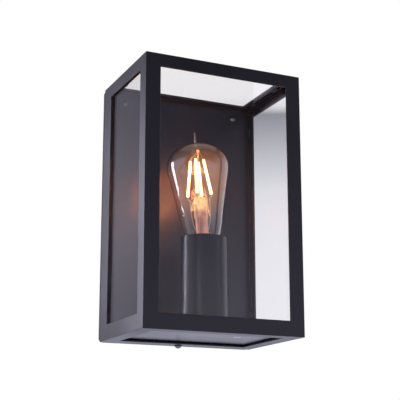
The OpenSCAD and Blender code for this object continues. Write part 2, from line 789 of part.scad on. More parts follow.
// Pillar block: a turret for each pole, a wire bore along Y and two screw wells
module terminal_block() {
    web_h = 0.45 * terminal_h;
    gap = 1.4;
    color("#ece9e2") translate([0, -terminal_y, shelf_top]) difference() {
        union() {
            translate([0, 0, web_h / 2]) cube([terminal_w, terminal_d - 4, web_h], center = true);
            for (i = [-1 : 1]) translate([i * pole_pitch, 0, terminal_h / 2])
                cube([pole_pitch - gap, terminal_d, terminal_h], center = true);
        }
        for (i = [-1 : 1]) {
            for (turn = [0, 180]) rotate([0, 0, turn])
                translate([i * pole_pitch, terminal_stop_t / 2, terminal_bore_z - shelf_top])
                    rotate([-90, 0, 0]) cylinder(h = terminal_d, d = terminal_bore_d);
            for (y = [-1, 1] * terminal_d / 4)
                translate([i * pole_pitch, y, terminal_bore_z - shelf_top])
                    cylinder(h = terminal_h, d = terminal_screw_d);
        }
    }
}

module terminal_screws() {
    length = 5;
    slot_w = 0.7;
    foot_z = terminal_bore_z + terminal_bore_d / 2;
    color("#c2b280") for (i = [-1 : 1], y = [-1, 1] * terminal_d / 4)
        translate([i * pole_pitch, -terminal_y + y, foot_z]) difference() {
            cylinder(h = length, d = terminal_screw_d);
            translate([0, 0, length]) cube([terminal_screw_d + 1, slot_w, 1.6], center = true);
        }
}

// Countersunk from below, so that the cage slides past under it
module earth_screw() {
    length = shelf_t + earth_tag_t + nut_h + 1.5;
    color("#d9dadc") translate([earth_x, -earth_y, shelf_z]) difference() {
        union() {
            cylinder(h = shelf_t, r1 = earth_head_r, r2 = earth_head_r - shelf_t);
            cylinder(h = length, d = screw_d);
        }
        for (turn = [0, 90]) rotate([0, 0, turn])
            cube([earth_head_r, 0.7, 1.2], center = true);
    }
}

// Ring tag with a crimped barrel that takes the earth wire
module earth_tag() {
    ring_r = 4.2;
    barrel_r = wire_r + 0.7;
    color("#c9ccd0") translate([earth_x, -earth_y, shelf_top]) difference() {
        union() {
            cylinder(h = earth_tag_t, r = ring_r);
            translate([-ring_r / 2, 0, 0]) cube([ring_r, earth_tag_reach - 3, earth_tag_t]);
            translate([0, earth_tag_reach, barrel_r])
                rotate([90, 0, 0]) cylinder(h = 5, r = barrel_r);
        }
        translate([0, 0, -cut]) cylinder(h = earth_tag_t + 2 * cut, d = screw_d);
        translate([0, earth_tag_reach + cut, wire_r + 0.2])
            rotate([90, 0, 0]) cylinder(h = earth_crimp_depth + cut, r = wire_r);
    }
}

module earth_nut() {
    color("#d9dadc") translate([earth_x, -earth_y, shelf_top + earth_tag_t])
        hex_nut(earth_nut_af, nut_h, screw_d);
}

module brown_wire() color("#6b4428") wire(brown_route, wire_r);
module blue_wire() color("#2f5fa8") wire(blue_route, wire_r);
module earth_wire() color("#7fa23a") wire(earth_route, wire_r);

// ---- cover screw -----------------------------------------------------------------------------

module cover_washer() {
    color("#141416") translate([0, -cover_screw_y, bottom - touch_gap - washer_t])
        ring(screw_d / 2 + thread_fit, washer_d / 2, washer_t);
}

module cover_screw() {
    color("#3f3f45") translate([0, -cover_screw_y, bottom - touch_gap - washer_t])
        domed_screw(screw_d, cover_screw_len, head_d, head_h);
}

// ---- lamp -------------------------------------------------------------------------------------

module cap_contact() {
    color("#d2d4d6") on_lamp_axis(lamp_z) rotate_extrude() polygon([
        [0, 0], [3.6, 0], [4.6, 0.5], [4.8, contact_h - touch_gap - 0.4],
        [5.6, contact_h - touch_gap - 0.4], [5.6, contact_h - touch_gap],
        [0, contact_h - touch_gap]]);
}

module cap_insulator() {
    color("#16161a") on_lamp_axis(lamp_z) rotate_extrude() polygon([
        [0, contact_h], [6.2, contact_h], [cap_foot_r - 0.5, 5], [cap_foot_r, cap_thread_foot],
        [cap_foot_r, cap_thread_foot + 1.5], [0, cap_thread_foot + 1.5]]);
}

// Levels and radii that the cap, its cement and the insulator share
cap_thread_foot = 6;
cap_plain_z = cap_thread_foot + 4 * cap_pitch;
cap_foot_r = cap_r - 1.9;
cap_rim_r = cap_r + 0.6;

// Screw cap of thin metal; its wavy wall has the pitch of the thread
module lamp_cap() {
    step = cap_pitch / 10;
    count = round((cap_plain_z - cap_thread_foot) / step);
    bore_r = cap_r - 2 * thread_wave - cap_wall;
    outer = concat(
        [[cap_foot_r, cap_thread_foot], [cap_r - 2 * thread_wave, cap_thread_foot]],
        [for (i = [2 : count]) [cap_r - 2 * wave(i * step), cap_thread_foot + i * step]],
        [[cap_r, cap_plain_z + 0.4], [cap_r, cap_len - 2.2], [cap_rim_r, cap_len - 0.6],
         [cap_rim_r, cap_len]]);
    inner = [[cap_rim_r - cap_wall, cap_len], [cap_r - cap_wall, cap_len - 2.2],
             [cap_r - cap_wall, cap_plain_z + 0.4], [bore_r, cap_plain_z - cap_pitch / 2],
             [bore_r, cap_thread_foot + cap_wall], [cap_foot_r, cap_thread_foot + cap_wall]];
    color("#c4b48a") on_lamp_axis(lamp_z) rotate_extrude() polygon(concat(outer, inner));
}

// Cement between the cap's wall and the glass that stands in it
module cap_cement() {
    rim_gap = 0.6;
    glass_r = bulb_foot_r(cap_len - 2.2);
    color("#cfc8b8") on_lamp_axis(lamp_z) rotate_extrude() polygon([
        [cap_r - cap_wall, cap_plain_z + 0.4], [cap_r - cap_wall, cap_len - 2.2],
        [cap_rim_r - cap_wall - rim_gap * 0.6 / 2.2, cap_len - rim_gap],
        [bulb_foot_r(cap_len - rim_gap), cap_len - rim_gap], [glass_r, cap_len - 2.2],
        [bulb_foot_r(cap_len - 4), cap_len - 4],
        [bulb_foot_r(cap_plain_z + 0.4), cap_plain_z + 0.4]]);
}

// Outline of the bulb from the cap to the top of the dome, inset by the glass for the inside:
// a curve from the neck to the widest place, then a quarter of an ellipse
function bezier(p, t) = pow(1 - t, 3) * p[0] + 3 * pow(1 - t, 2) * t * p[1]
    + 3 * (1 - t) * t * t * p[2] + t * t * t * p[3];
function bulb_outline(inset) = let (
        low = [neck_r - inset, cap_len], high = [bulb_r - inset, belly_z],
        grow = high - low,
        p = [low, low + [0.36 * grow[0], 0.25 * grow[1]],
             low + [0.97 * grow[0], 0.93 * grow[1]], high])
    concat([for (i = [0 : 16]) bezier(p, i / 16)],
           [for (a = [7.5 : 7.5 : 82.5]) [high[0] * cos(a), belly_z + (dome_h - inset) * sin(a)]]);

// Radius of the outside of the glass inside the cap: two straight tapers
function bulb_foot_r(z) = lookup(z, [
    [glass_foot_z, glass_foot_r], [cap_len - 4, glass_foot_r + 0.3], [cap_len, neck_r]]);

module bulb_glass() {
    apex = belly_z + dome_h;
    foot_out = [for (z = [glass_foot_z, cap_len - 4]) [bulb_foot_r(z), z]];
    foot_in = [for (z = [cap_len - 4, glass_foot_z]) [bulb_foot_r(z) - bulb_t, z]];
    pip = [[3.2, apex + 0.1], [2.4, apex + 1.2], [2, apex + 3.5], [1.8, apex + pip_h - 2],
           [1.2, apex + pip_h - 0.6], [0, apex + pip_h]];
    inside = bulb_outline(bulb_t);
    color("#f2e9dc", 0.3) on_lamp_axis(lamp_z) rotate_extrude() polygon(concat(
        foot_out, bulb_outline(0), pip, [[0, apex - bulb_t]],
        [for (i = [len(inside) - 1 : -1 : 0]) inside[i]], foot_in));
}

// Flared tube inside the neck, pinched flat at its top round the lead wires
module glass_stem() {
    pinch_t = 4;
    pinch_h = 14;
    tube_t = 1;
    color("#e8dccb", 0.4) on_lamp_axis(lamp_z) {
        rotate_extrude() polygon([
            [glass_foot_r, glass_foot_z - stem_rim_t], [glass_foot_r, glass_foot_z],
            [stem_flare_r - 0.8, glass_foot_z], [stem_r + 2.4, glass_foot_z + 4],
            [stem_r + 0.6, glass_foot_z + 9], [stem_r, glass_foot_z + 14],
            [stem_r, stem_top_z - pinch_h + 2], [0, stem_top_z - pinch_h + 2],
            [0, glass_foot_z + 13], [stem_r - 2 * tube_t, glass_foot_z + 13],
            [stem_r - 0.4 * tube_t, glass_foot_z + 9], [stem_r + tube_t, glass_foot_z + 4],
            [stem_flare_r - 2 * tube_t, glass_foot_z - stem_rim_t]]);
        translate([0, 0, stem_top_z - pinch_h]) rotate([0, 0, filament_turn + 90])
            linear_extrude(pinch_h) offset(r = pinch_t / 4)
                square([stem_press_w - pinch_t / 2, pinch_t / 2], center = true);
    }
}

function polar(r, a, z) = [r * cos(a), r * sin(a), z];
function filament_angle(i) = filament_turn + 360 * i / filament_count;

// A round rod from one point to another
module rod(from, to, d) {
    v = to - from;
    translate(from) rotate([0, acos(v[2] / norm(v)), atan2(v[1], v[0])])
        cylinder(h = norm(v), d = d, $fn = 16);
}

module filaments() {
    color("#ffd58a") on_lamp_axis(lamp_z) for (i = [0 : filament_count - 1])
        rod(polar(filament_low_r, filament_angle(i), filament_z),
            polar(filament_high_r, filament_angle(i), filament_top_z), filament_d);
}

// Wires from the stem to the filaments' feet, the star that joins their tops, and its bead
module filament_leads() {
    hub = [0, 0, bead_z];
    sink = 0.5;
    color("#b8b2a4") on_lamp_axis(lamp_z) {
        for (i = [0 : filament_count - 1]) {
            a = filament_angle(i);
            rod(polar(0.3 * stem_press_w * abs(sin(a - filament_turn)), a, stem_top_z - sink),
                polar(filament_low_r, a, filament_z), lead_d);
            rod(polar(filament_high_r, a, filament_top_z), hub, lead_d);
        }
        rod([0, 0, stem_top_z - sink], hub, 2 * lead_d);
        translate(hub) sphere(r = bead_r, $fn = 24);
    }
}

front_frame();
left_frame();
right_frame();
top_frame();
bottom_frame();
front_glass();
left_glass();
right_glass();
top_glass();
front_seal();
left_seal();
right_seal();
top_seal();
glass_clips();
back_pan();
lamp_shelf();
shelf_rivets();
wall_gasket();
wall_bracket();
bracket_nuts();
plate_screws();
cable_grommet();
captive_nut();
socket_cover();
socket_base();
threaded_tube();
tube_nuts();
lampholder();
thread_shell();
centre_contact();
terminal_block();
terminal_screws();
earth_screw();
earth_tag();
earth_nut();
brown_wire();
blue_wire();
earth_wire();
cover_washer();
cover_screw();
cap_contact();
cap_insulator();
lamp_cap();
cap_cement();
bulb_glass();
glass_stem();
filaments();
filament_leads();
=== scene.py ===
# %% [markdown]
# # A box lantern for an outside wall
#
# The lantern is a black box of five mitred metal panels, four of them glazed, that slides over a
# shallow back pan on the wall. Inside stand a dark tube with the lampholder in it and a clear lamp
# with four glowing sticks. The construction is already modelled and comes in as a fixed frame.
# This lesson gives it its looks: a camera, plain light, softened edges, a few pieces turned anew
# as smooth profiles, and a material made of nodes for every finish.

# %% The frame
import math

import bmesh
import bpy
from mathutils import Euler, Matrix, Vector


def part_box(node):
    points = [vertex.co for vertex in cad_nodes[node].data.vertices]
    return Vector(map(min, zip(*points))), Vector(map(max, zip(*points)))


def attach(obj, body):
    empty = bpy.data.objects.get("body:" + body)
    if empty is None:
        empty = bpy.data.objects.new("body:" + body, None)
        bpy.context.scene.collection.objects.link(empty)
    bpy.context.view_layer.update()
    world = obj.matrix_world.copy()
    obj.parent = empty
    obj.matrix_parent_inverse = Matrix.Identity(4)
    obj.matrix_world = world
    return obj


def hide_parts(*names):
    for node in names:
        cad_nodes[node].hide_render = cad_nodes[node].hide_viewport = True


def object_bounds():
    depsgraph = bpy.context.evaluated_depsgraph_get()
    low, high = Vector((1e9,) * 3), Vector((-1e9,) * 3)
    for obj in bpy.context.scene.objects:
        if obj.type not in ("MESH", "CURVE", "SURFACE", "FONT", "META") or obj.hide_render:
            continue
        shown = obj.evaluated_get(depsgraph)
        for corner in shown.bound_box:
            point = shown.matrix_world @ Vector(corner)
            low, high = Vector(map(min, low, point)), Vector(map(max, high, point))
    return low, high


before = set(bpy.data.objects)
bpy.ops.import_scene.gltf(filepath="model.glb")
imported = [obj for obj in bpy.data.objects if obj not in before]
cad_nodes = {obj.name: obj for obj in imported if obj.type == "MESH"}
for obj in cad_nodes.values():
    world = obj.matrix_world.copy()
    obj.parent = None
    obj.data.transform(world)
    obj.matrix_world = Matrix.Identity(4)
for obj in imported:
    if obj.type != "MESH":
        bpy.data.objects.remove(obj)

cad_low, cad_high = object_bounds()
mm = 0.001
scene = bpy.context.scene
print("lantern, mm:", [round(v / mm, 1) for v in cad_high - cad_low])

# %% [markdown]
# ## The camera
#
# The lantern is seen from below and from its left, about a metre away, so its left side and its
# underside show with its front. A lens of some 93 mm keeps the box from flaring. The small upward
# shift lowers the lantern in the view without tilting the camera further.

# %% Camera
camera_place = Vector((-0.4028, -0.9418, -0.2426))
camera_turn = math.radians(24.52)
camera_tilt = math.radians(13.39)

camera_data = bpy.data.cameras.new("camera")
camera_data.sensor_width = 36.0
camera_data.lens = 93.3
camera_data.shift_y = 0.05
camera = bpy.data.objects.new("camera", camera_data)
camera.location = camera_place
camera.rotation_euler = Euler((math.pi / 2 + camera_tilt, 0.0, -camera_turn))
scene.collection.objects.link(camera)
scene.camera = camera
print("camera to lantern, m:", round(camera_place.length, 3))

# %% [markdown]
# ## Helpers for nodes
#
# The light and every finish are trees of nodes. A tree reads best from its inputs to its output,
# so each node is given, as it is made, what its sockets take: another node's output or a constant.
# Then come short names for the nodes that turn up everywhere: a mix of two colours, a step of
# arithmetic, a change of range, a run of colours and a cloudy pattern.

# %% Node helpers
def feed(tree, socket, source):
    """Feeds a socket from another node's output, or gives it a constant."""
    if isinstance(source, bpy.types.NodeSocket):
        tree.links.new(source, socket)
    elif socket.type == "RGBA":
        socket.default_value = (*source, 1)
    else:
        socket.default_value = source


def add_node(tree, kind, inputs=None, **properties):
    """A node of that kind; inputs gives its sockets, by name or number, what they take."""
    node = tree.nodes.new(kind)
    for name, value in properties.items():
        setattr(node, name, value)
    for socket, source in (inputs or {}).items():
        feed(tree, node.inputs[socket], source)
    return node


def mix(tree, mask, first, second, kind="RGBA"):
    """The first colour where the mask is 0, the second where it is 1; FLOAT mixes values."""
    low, high, result = (6, 7, 2) if kind == "RGBA" else (2, 3, 0)
    node = add_node(tree, "ShaderNodeMix", {0: mask, low: first, high: second}, data_type=kind)
    return node.outputs[result]


def calculate(tree, operation, first, second):
    """One step of arithmetic, held between 0 and 1 so that it serves as a mask."""
    node = add_node(tree, "ShaderNodeMath", {0: first, 1: second}, operation=operation,
                    use_clamp=True)
    return node.outputs[0]


def change_range(tree, value, low, high, first=0.0, last=1.0, curve="LINEAR"):
    """Lays the range from low to high on the one from first to last, and holds it there."""
    node = add_node(tree, "ShaderNodeMapRange",
                    {"Value": value, "From Min": low, "From Max": high, "To Min": first,
                     "To Max": last}, interpolation_type=curve)
    return node.outputs[0]


def colour_run(tree, value, stops):
    """A colour that runs through the stops, as (place, (red, green, blue)), while a value grows."""
    node = add_node(tree, "ShaderNodeValToRGB", {"Fac": value})
    elements = node.color_ramp.elements
    while len(elements) < len(stops):
        elements.new(0.5)
    for element, (place, colour) in zip(elements, stops):
        element.position = place
        element.color = (*colour, 1)
    return node.outputs["Color"]


def own_place(tree):
    """A point's place in its piece's own coordinates, which move with the piece."""
    return add_node(tree, "ShaderNodeTexCoord").outputs["Object"]


def cloud(tree, scale, detail=2.0, roughness=0.5, place=None):
    """A cloudy pattern between 0 and 1, fixed to the piece."""
    node = add_node(tree, "ShaderNodeTexNoise",
                    {"Vector": place or own_place(tree), "Scale": scale, "Detail": detail,
                     "Roughness": roughness})
    return node.outputs["Fac"]


# %% [markdown]
# ## The light
#
# Black gloss shows almost nothing of its own: what the eye reads on it is the room, mirrored more
# strongly the flatter one looks along a face. So the world matters more here than the lamps. It is
# white straight into the camera. What the coat mirrors is a room that is dark high up in front and
# paler behind the lantern and at its sides. What shows straight through a pane is a pale wall that
# falls off into shade near the top of the lantern, with white again over it.

# %% Skies
scene.view_settings.view_transform = "Standard"
world = bpy.data.worlds.new("studio")
scene.world = world
world.use_nodes = True
sky_tree = world.node_tree
sky_tree.nodes.clear()
direction = add_node(sky_tree, "ShaderNodeTexCoord").outputs["Generated"]
ways = add_node(sky_tree, "ShaderNodeSeparateXYZ", {0: direction}).outputs
height = change_range(sky_tree, ways["Z"], low=-1.0, high=1.0)


def sky(stops):
    """A sky whose colour depends on the height alone; 0.5 is the horizon and 1 straight up."""
    return colour_run(sky_tree, height, stops)


front_room = sky([(0.44, (0.8, 0.79, 0.95)), (0.5, (0.92, 0.9, 1.0)), (0.55, (0.92, 0.9, 1.0)),
                  (0.587, (0.67, 0.65, 0.82)), (0.63, (0.34, 0.33, 0.405)),
                  (0.665, (0.11, 0.11, 0.132)), (0.8, (0.04, 0.04, 0.055)),
                  (1.0, (0.3, 0.3, 0.33))])
rear_room = sky([(0.46, (0.74, 0.73, 0.92)), (0.55, (0.3, 0.29, 0.36)),
                 (0.61, (0.46, 0.44, 0.53)), (0.665, (0.3, 0.29, 0.36)),
                 (0.8, (0.12, 0.12, 0.15)), (1.0, (0.3, 0.3, 0.33))])
side_room = sky([(0.4, (0.7, 0.69, 0.8)), (0.55, (0.8, 0.78, 0.87)), (0.65, (0.8, 0.78, 0.85)),
                 (0.75, (0.3, 0.3, 0.34)), (1.0, (0.2, 0.2, 0.22))])
wall_behind = sky([(0.587, (0.96, 0.955, 1.0)), (0.61, (0.93, 0.925, 0.98)),
                   (0.629, (0.86, 0.86, 0.92)), (0.655, (0.46, 0.46, 0.52)),
                   (0.664, (0.33, 0.33, 0.38)), (0.669, (1.0, 0.985, 1.0))])
print("sky nodes so far:", len(sky_tree.nodes))

# %% [markdown]
# The skies are joined by where a ray goes and by what kind of ray it is. To the front, to the rear
# and to the sides it meets the three parts of the room, which blend softly into each other. A ray
# that came through glass without a bounce meets the wall behind, and one straight from the camera
# meets white.

# %% World
def straight_look(tree, rays):
    """A mask of the rays that went through glass without being mirrored or scattered."""
    bounced = calculate(tree, "ADD", rays["Glossy Depth"], rays["Diffuse Depth"])
    return calculate(tree, "SUBTRACT", rays["Is Transmission Ray"], bounced)


white = (1, 1, 1)
rays = add_node(sky_tree, "ShaderNodeLightPath").outputs
to_the_rear = change_range(sky_tree, ways["Y"], low=-0.3, high=0.3)
sideways = add_node(sky_tree, "ShaderNodeMath", {0: ways["X"]}, operation="ABSOLUTE").outputs[0]
to_a_side = change_range(sky_tree, sideways, low=0.7, high=0.92)
room = mix(sky_tree, to_the_rear, front_room, rear_room)
room = mix(sky_tree, to_a_side, room, side_room)
seen = mix(sky_tree, straight_look(sky_tree, rays), room, wall_behind)
seen = mix(sky_tree, rays["Is Camera Ray"], seen, white)
background = add_node(sky_tree, "ShaderNodeBackground", {"Color": seen, "Strength": 1.0})
add_node(sky_tree, "ShaderNodeOutputWorld", {"Surface": background.outputs[0]})
print("world nodes:", len(sky_tree.nodes))

# %% [markdown]
# Three soft lamps give the edges a direction: a weak one high on the left, another on the right,
# and a stronger one low behind the left side, which rakes along that side and draws the bright
# line down the tube. An area lamp would show as a white square behind a pane, or mirrored in the
# pane's outside, so for such rays its strength drops to nothing.

# %% Lamps
def unseen_in_panes(data):
    """Lets a lamp light, but not show behind a pane or mirrored in its outside."""
    data.use_nodes = True
    tree = data.node_tree
    rays = add_node(tree, "ShaderNodeLightPath").outputs
    mirrored = calculate(tree, "SUBTRACT", rays["Is Glossy Ray"], rays["Transmission Depth"])
    hidden = calculate(tree, "ADD", straight_look(tree, rays), mirrored)
    shown = calculate(tree, "SUBTRACT", 1.0, hidden)
    feed(tree, tree.nodes["Emission"].inputs["Strength"], shown)


def soft_lamp(name, place, size, power, colour=white):
    """A square lamp at a place, turned to the lantern's middle."""
    data = bpy.data.lights.new(name, "AREA")
    data.size = size
    data.energy = power
    data.color = colour
    unseen_in_panes(data)
    lamp = bpy.data.objects.new(name, data)
    lamp.location = place
    lamp.rotation_euler = (-Vector(place)).to_track_quat("-Z", "Y").to_euler()
    lamp.visible_camera = False
    scene.collection.objects.link(lamp)
    print(name, "lamp, m from the lantern:", round(lamp.location.length, 2))


soft_lamp("key", place=(-0.9, -0.7, 1.0), size=0.8, power=0.8)
soft_lamp("fill", place=(1.1, -0.6, 0.5), size=0.9, power=0.8)
soft_lamp("rake", place=(-0.78, 0.66, 0.15), size=0.42, power=7.2, colour=(0.9, 0.88, 1.0))

# %% [markdown]
# The floor lies well under the lantern, as below a light on a wall. It is one large square, and it
# gets its material, a matt paper, with the other finishes.

# %% Floor
def new_object(name, mesh, material=None):
    """An object for a finished bmesh, shaded smooth; the bmesh is freed."""
    data = bpy.data.meshes.new(name)
    mesh.to_mesh(data)
    mesh.free()
    data.shade_smooth()
    made = bpy.data.objects.new(name, data)
    scene.collection.objects.link(made)
    if material:
        data.materials.append(material)
    return made


floor_drop = 0.45
floor_reach = 4.0
mesh = bmesh.new()
bmesh.ops.create_grid(mesh, x_segments=1, y_segments=1, size=floor_reach)
bmesh.ops.translate(mesh, verts=mesh.verts, vec=(0, 0, cad_low.z - floor_drop))
floor = new_object("floor", mesh)
print("floor under the lantern, m:", floor_drop)

# %% [markdown]
# ## Effects that several finishes share
#
# Four effects come back on one finish after another, so each is one node group with named inputs:
# a slow drift of colour and roughness, a fine grain in relief, a rubbed edge and settled dust.
# Each reads the piece's own coordinates, so nothing slides when a piece moves. The shaders stay
# in the materials, where each finish sets its own values.

# %% Group helpers
def new_group(name, inputs, outputs):
    """An empty shader group with its sockets, what it is given, and what its result takes."""
    group = bpy.data.node_groups.new(name, "ShaderNodeTree")
    kinds = {"value": "NodeSocketFloat", "colour": "NodeSocketColor", "vector": "NodeSocketVector"}
    for label, kind, value in inputs:
        socket = group.interface.new_socket(name=label, in_out="INPUT", socket_type=kinds[kind])
        socket.default_value = value
    for label, kind in outputs:
        group.interface.new_socket(name=label, in_out="OUTPUT", socket_type=kinds[kind])
    given = group.nodes.new("NodeGroupInput").outputs
    result = group.nodes.new("NodeGroupOutput").inputs
    return group, given, result


def put_group(tree, group, **values):
    """Places a group in a material, with its values, and returns what it puts out."""
    node = tree.nodes.new("ShaderNodeGroup")
    node.node_tree = group
    for label, value in values.items():
        feed(tree, node.inputs[label], value)
    return node.outputs


# %% [markdown]
# No coat is the same all over. The drift moves between a dark and a light tone, and between a
# smooth and a rough value, on one slow cloud, so the paler places are also the duller ones.

# %% The drift group
drift, given, result = new_group(
    "drift",
    [("dark", "colour", (0, 0, 0, 1)), ("light", "colour", (1, 1, 1, 1)),
     ("scale", "value", 20.0), ("smooth", "value", 0.3), ("rough", "value", 0.4)],
    [("colour", "colour"), ("roughness", "value")])
slow = cloud(drift, given["scale"], detail=1.5, roughness=0.4)
share = change_range(drift, slow, low=0.25, high=0.75, curve="SMOOTHSTEP")
feed(drift, result["colour"], mix(drift, share, given["dark"], given["light"]))
feed(drift, result["roughness"],
     change_range(drift, share, 0.0, 1.0, given["smooth"], given["rough"]))
print("drift nodes:", len(drift.nodes))

# %% [markdown]
# The grain is the peel of a baked coat, the pits in foam and cement or, stretched along one way,
# the lines of drawn metal and glass. It is a relief, so its depth is a real one, in metres.

# %% The grain group
grain, given, result = new_group(
    "grain",
    [("scale", "value", 800.0), ("depth", "value", 0.02 * mm), ("stretch", "vector", (1, 1, 1))],
    [("normal", "vector"), ("mask", "value")])
pulled = add_node(grain, "ShaderNodeVectorMath", {0: own_place(grain), 1: given["stretch"]},
                  operation="MULTIPLY")
fine = cloud(grain, given["scale"], detail=3.0, place=pulled.outputs[0])
relief = add_node(grain, "ShaderNodeBump",
                  {"Height": fine, "Distance": given["depth"], "Strength": 1.0})
feed(grain, result["normal"], relief.outputs["Normal"])
feed(grain, result["mask"], fine)
print("grain nodes:", len(grain.nodes))

# %% [markdown]
# A Bevel node rounds the normal near an edge. Where the rounded normal leaves the face's own, there
# is an edge, and a cloud breaks the line of it, because hands and rags don't rub evenly.

# %% The rubbed edge group
rubbed, given, result = new_group(
    "rubbed edge",
    [("width", "value", 0.5 * mm), ("amount", "value", 1.0), ("scale", "value", 60.0)],
    [("mask", "value")])
rounded = add_node(rubbed, "ShaderNodeBevel", {"Radius": given["width"]}, samples=4)
facing = add_node(rubbed, "ShaderNodeNewGeometry")
agree = add_node(rubbed, "ShaderNodeVectorMath",
                 {0: rounded.outputs["Normal"], 1: facing.outputs["Normal"]},
                 operation="DOT_PRODUCT")
edge = change_range(rubbed, agree.outputs["Value"], low=0.995, high=0.9)
patches = cloud(rubbed, given["scale"], detail=3.0)
broken = change_range(rubbed, patches, low=0.45, high=0.65)
worn = calculate(rubbed, "MULTIPLY", edge, broken)
feed(rubbed, result["mask"], calculate(rubbed, "MULTIPLY", worn, given["amount"]))
print("rubbed edge nodes:", len(rubbed.nodes))

# %% [markdown]
# Dust settles only on what faces up, and in flecks.

# %% The dust group
dust, given, result = new_group(
    "dust",
    [("amount", "value", 0.3), ("scale", "value", 40.0)],
    [("mask", "value")])
facing = add_node(dust, "ShaderNodeNewGeometry")
upward = add_node(dust, "ShaderNodeSeparateXYZ", {0: facing.outputs["Normal"]}).outputs["Z"]
level = change_range(dust, upward, low=0.6, high=0.95)
specks = cloud(dust, given["scale"], detail=6.0, roughness=0.7)
flecks = change_range(dust, specks, low=0.4, high=0.75)
settled = calculate(dust, "MULTIPLY", level, flecks)
feed(dust, result["mask"], calculate(dust, "MULTIPLY", settled, given["amount"]))
print("dust nodes:", len(dust.nodes))

# %% [markdown]
# ## The finishes
#
# A helper starts each material from one shader with its own constants. `shaded` then adds the
# drift of colour and roughness and the grain, which most finishes want, each at its own scale.

# %% Material helpers
def opened(material):
    """A material's tree and the Principled shader in it."""
    tree = material.node_tree
    return tree, tree.nodes["Principled BSDF"]


def new_material(name, sockets):
    """A material with a Principled shader whose sockets have these constants."""
    material = bpy.data.materials.new(name)
    material.use_nodes = True
    tree, shader = opened(material)
    for label, value in sockets.items():
        feed(tree, shader.inputs[label], value)
    return material


def shaded(name, dark, light, smooth, rough, drift_scale, grain_scale=900.0, grain_depth=0.0,
           stretch=(1, 1, 1), sockets=None):
    """A finish whose colour and roughness drift between two values, with a grain in relief."""
    material = new_material(name, sockets or {})
    tree, shader = opened(material)
    tone = put_group(tree, drift, dark=dark, light=light, scale=drift_scale, smooth=smooth,
                     rough=rough)
    feed(tree, shader.inputs["Base Color"], tone["colour"])
    feed(tree, shader.inputs["Roughness"], tone["roughness"])
    if grain_depth:
        relief = put_group(tree, grain, scale=grain_scale, depth=grain_depth, stretch=stretch)
        feed(tree, shader.inputs["Normal"], relief["normal"])
    return material


def blend_over(tree, socket, mask, over):
    """Lays a colour or a value over what already feeds a socket, where the mask says."""
    below = socket.links[0].from_socket
    kind = "RGBA" if socket.type == "RGBA" else "FLOAT"
    feed(tree, socket, mix(tree, mask, below, over, kind))


# %% [markdown]
# The powder coat is baked plastic powder: nearly black with a breath of blue, satin, and on the
# frame very finely pimpled, like orange peel. On its edges the coat is thin and has been handled,
# so they are a little lighter, and the top gathers a trace of dust. The pan behind the lamp is a
# shade lighter, the shelf is glossier, and the tube is the darkest.

# %% Powder coats
drift_per_metre = 18.0
peel_per_metre = 1400.0
rubbed_colour = (0.09, 0.09, 0.1)
dust_colour = (0.16, 0.155, 0.145)
dust_roughness = 0.8
bluish = (0.9, 0.88, 1.0)


def powder_coat(name, dark, light, smooth, rough, peel_depth=0.0, wear=0.35, dusty=0.25,
                gloss=1.5):
    """A baked coat; gloss is its refraction, wear and dusty the shares of the two masks."""
    material = shaded(name, dark, light, smooth, rough, drift_per_metre, peel_per_metre,
                      peel_depth, sockets={"IOR": gloss, "Specular Tint": bluish})
    tree, shader = opened(material)
    colour = shader.inputs["Base Color"]
    edges = put_group(tree, rubbed, width=0.5 * mm, amount=wear, scale=90.0)["mask"]
    film = put_group(tree, dust, amount=dusty, scale=55.0)["mask"]
    blend_over(tree, colour, edges, rubbed_colour)
    blend_over(tree, colour, film, dust_colour)
    blend_over(tree, shader.inputs["Roughness"], film, dust_roughness)
    return material


frame_coat = powder_coat("frame coat", dark=(0.0105, 0.01, 0.0145), light=(0.0145, 0.014, 0.0195),
                         smooth=0.28, rough=0.34, peel_depth=0.01 * mm)
pan_coat = powder_coat("pan coat", dark=(0.0195, 0.019, 0.026), light=(0.0235, 0.023, 0.0315),
                       smooth=0.28, rough=0.3, wear=0.1, dusty=0.15, gloss=1.52)
shelf_coat = powder_coat("shelf coat", dark=(0.013, 0.0125, 0.0165),
                         light=(0.018, 0.0175, 0.0225), smooth=0.2, rough=0.25, wear=0.15,
                         dusty=0.15, gloss=1.6)
cover_coat = powder_coat("cover coat", dark=(0.0045, 0.0042, 0.006),
                         light=(0.006, 0.0056, 0.0075), smooth=0.277, rough=0.285, wear=0.2,
                         dusty=0.1, gloss=1.4)
print("coats:", [coat.name for coat in (frame_coat, pan_coat, shelf_coat, cover_coat)])

# %% [markdown]
# Clear glass is one shader: full transmission and no roughness. Its shadow would come out solid,
# because a straight shadow ray can't follow the light as it bends, so for shadow rays alone the
# pane turns transparent. The upright panes are faintly green. Both kinds of pane bend the light
# less than real glass, whose refraction is 1.52, so that they mirror less of the pale room.

# %% Window glass
def swap_shader(tree, mask, shader, other):
    """Puts the other shader in the first one's place for the rays that the mask picks."""
    either = add_node(tree, "ShaderNodeMixShader",
                      {0: mask, 1: shader.outputs[0], 2: other.outputs[0]})
    feed(tree, tree.nodes["Material Output"].inputs["Surface"], either.outputs[0])


def clear_glass(name, tint, refraction, passed, roughness=0.0):
    """Clear glass; passed is the colour of the light that it lets through to what is behind."""
    material = new_material(name, {"Base Color": tint, "Roughness": roughness, "IOR": refraction,
                                   "Transmission Weight": 1.0})
    tree, shader = opened(material)
    rays = add_node(tree, "ShaderNodeLightPath").outputs
    let_through = add_node(tree, "ShaderNodeBsdfTransparent", {"Color": passed})
    swap_shader(tree, rays["Is Shadow Ray"], shader, let_through)
    return material


def add_relief(material, scale, depth):
    """The least unevenness of drawn glass, which makes mirrored edges waver."""
    tree, shader = opened(material)
    relief = put_group(tree, grain, scale=scale, depth=depth)
    feed(tree, shader.inputs["Normal"], relief["normal"])


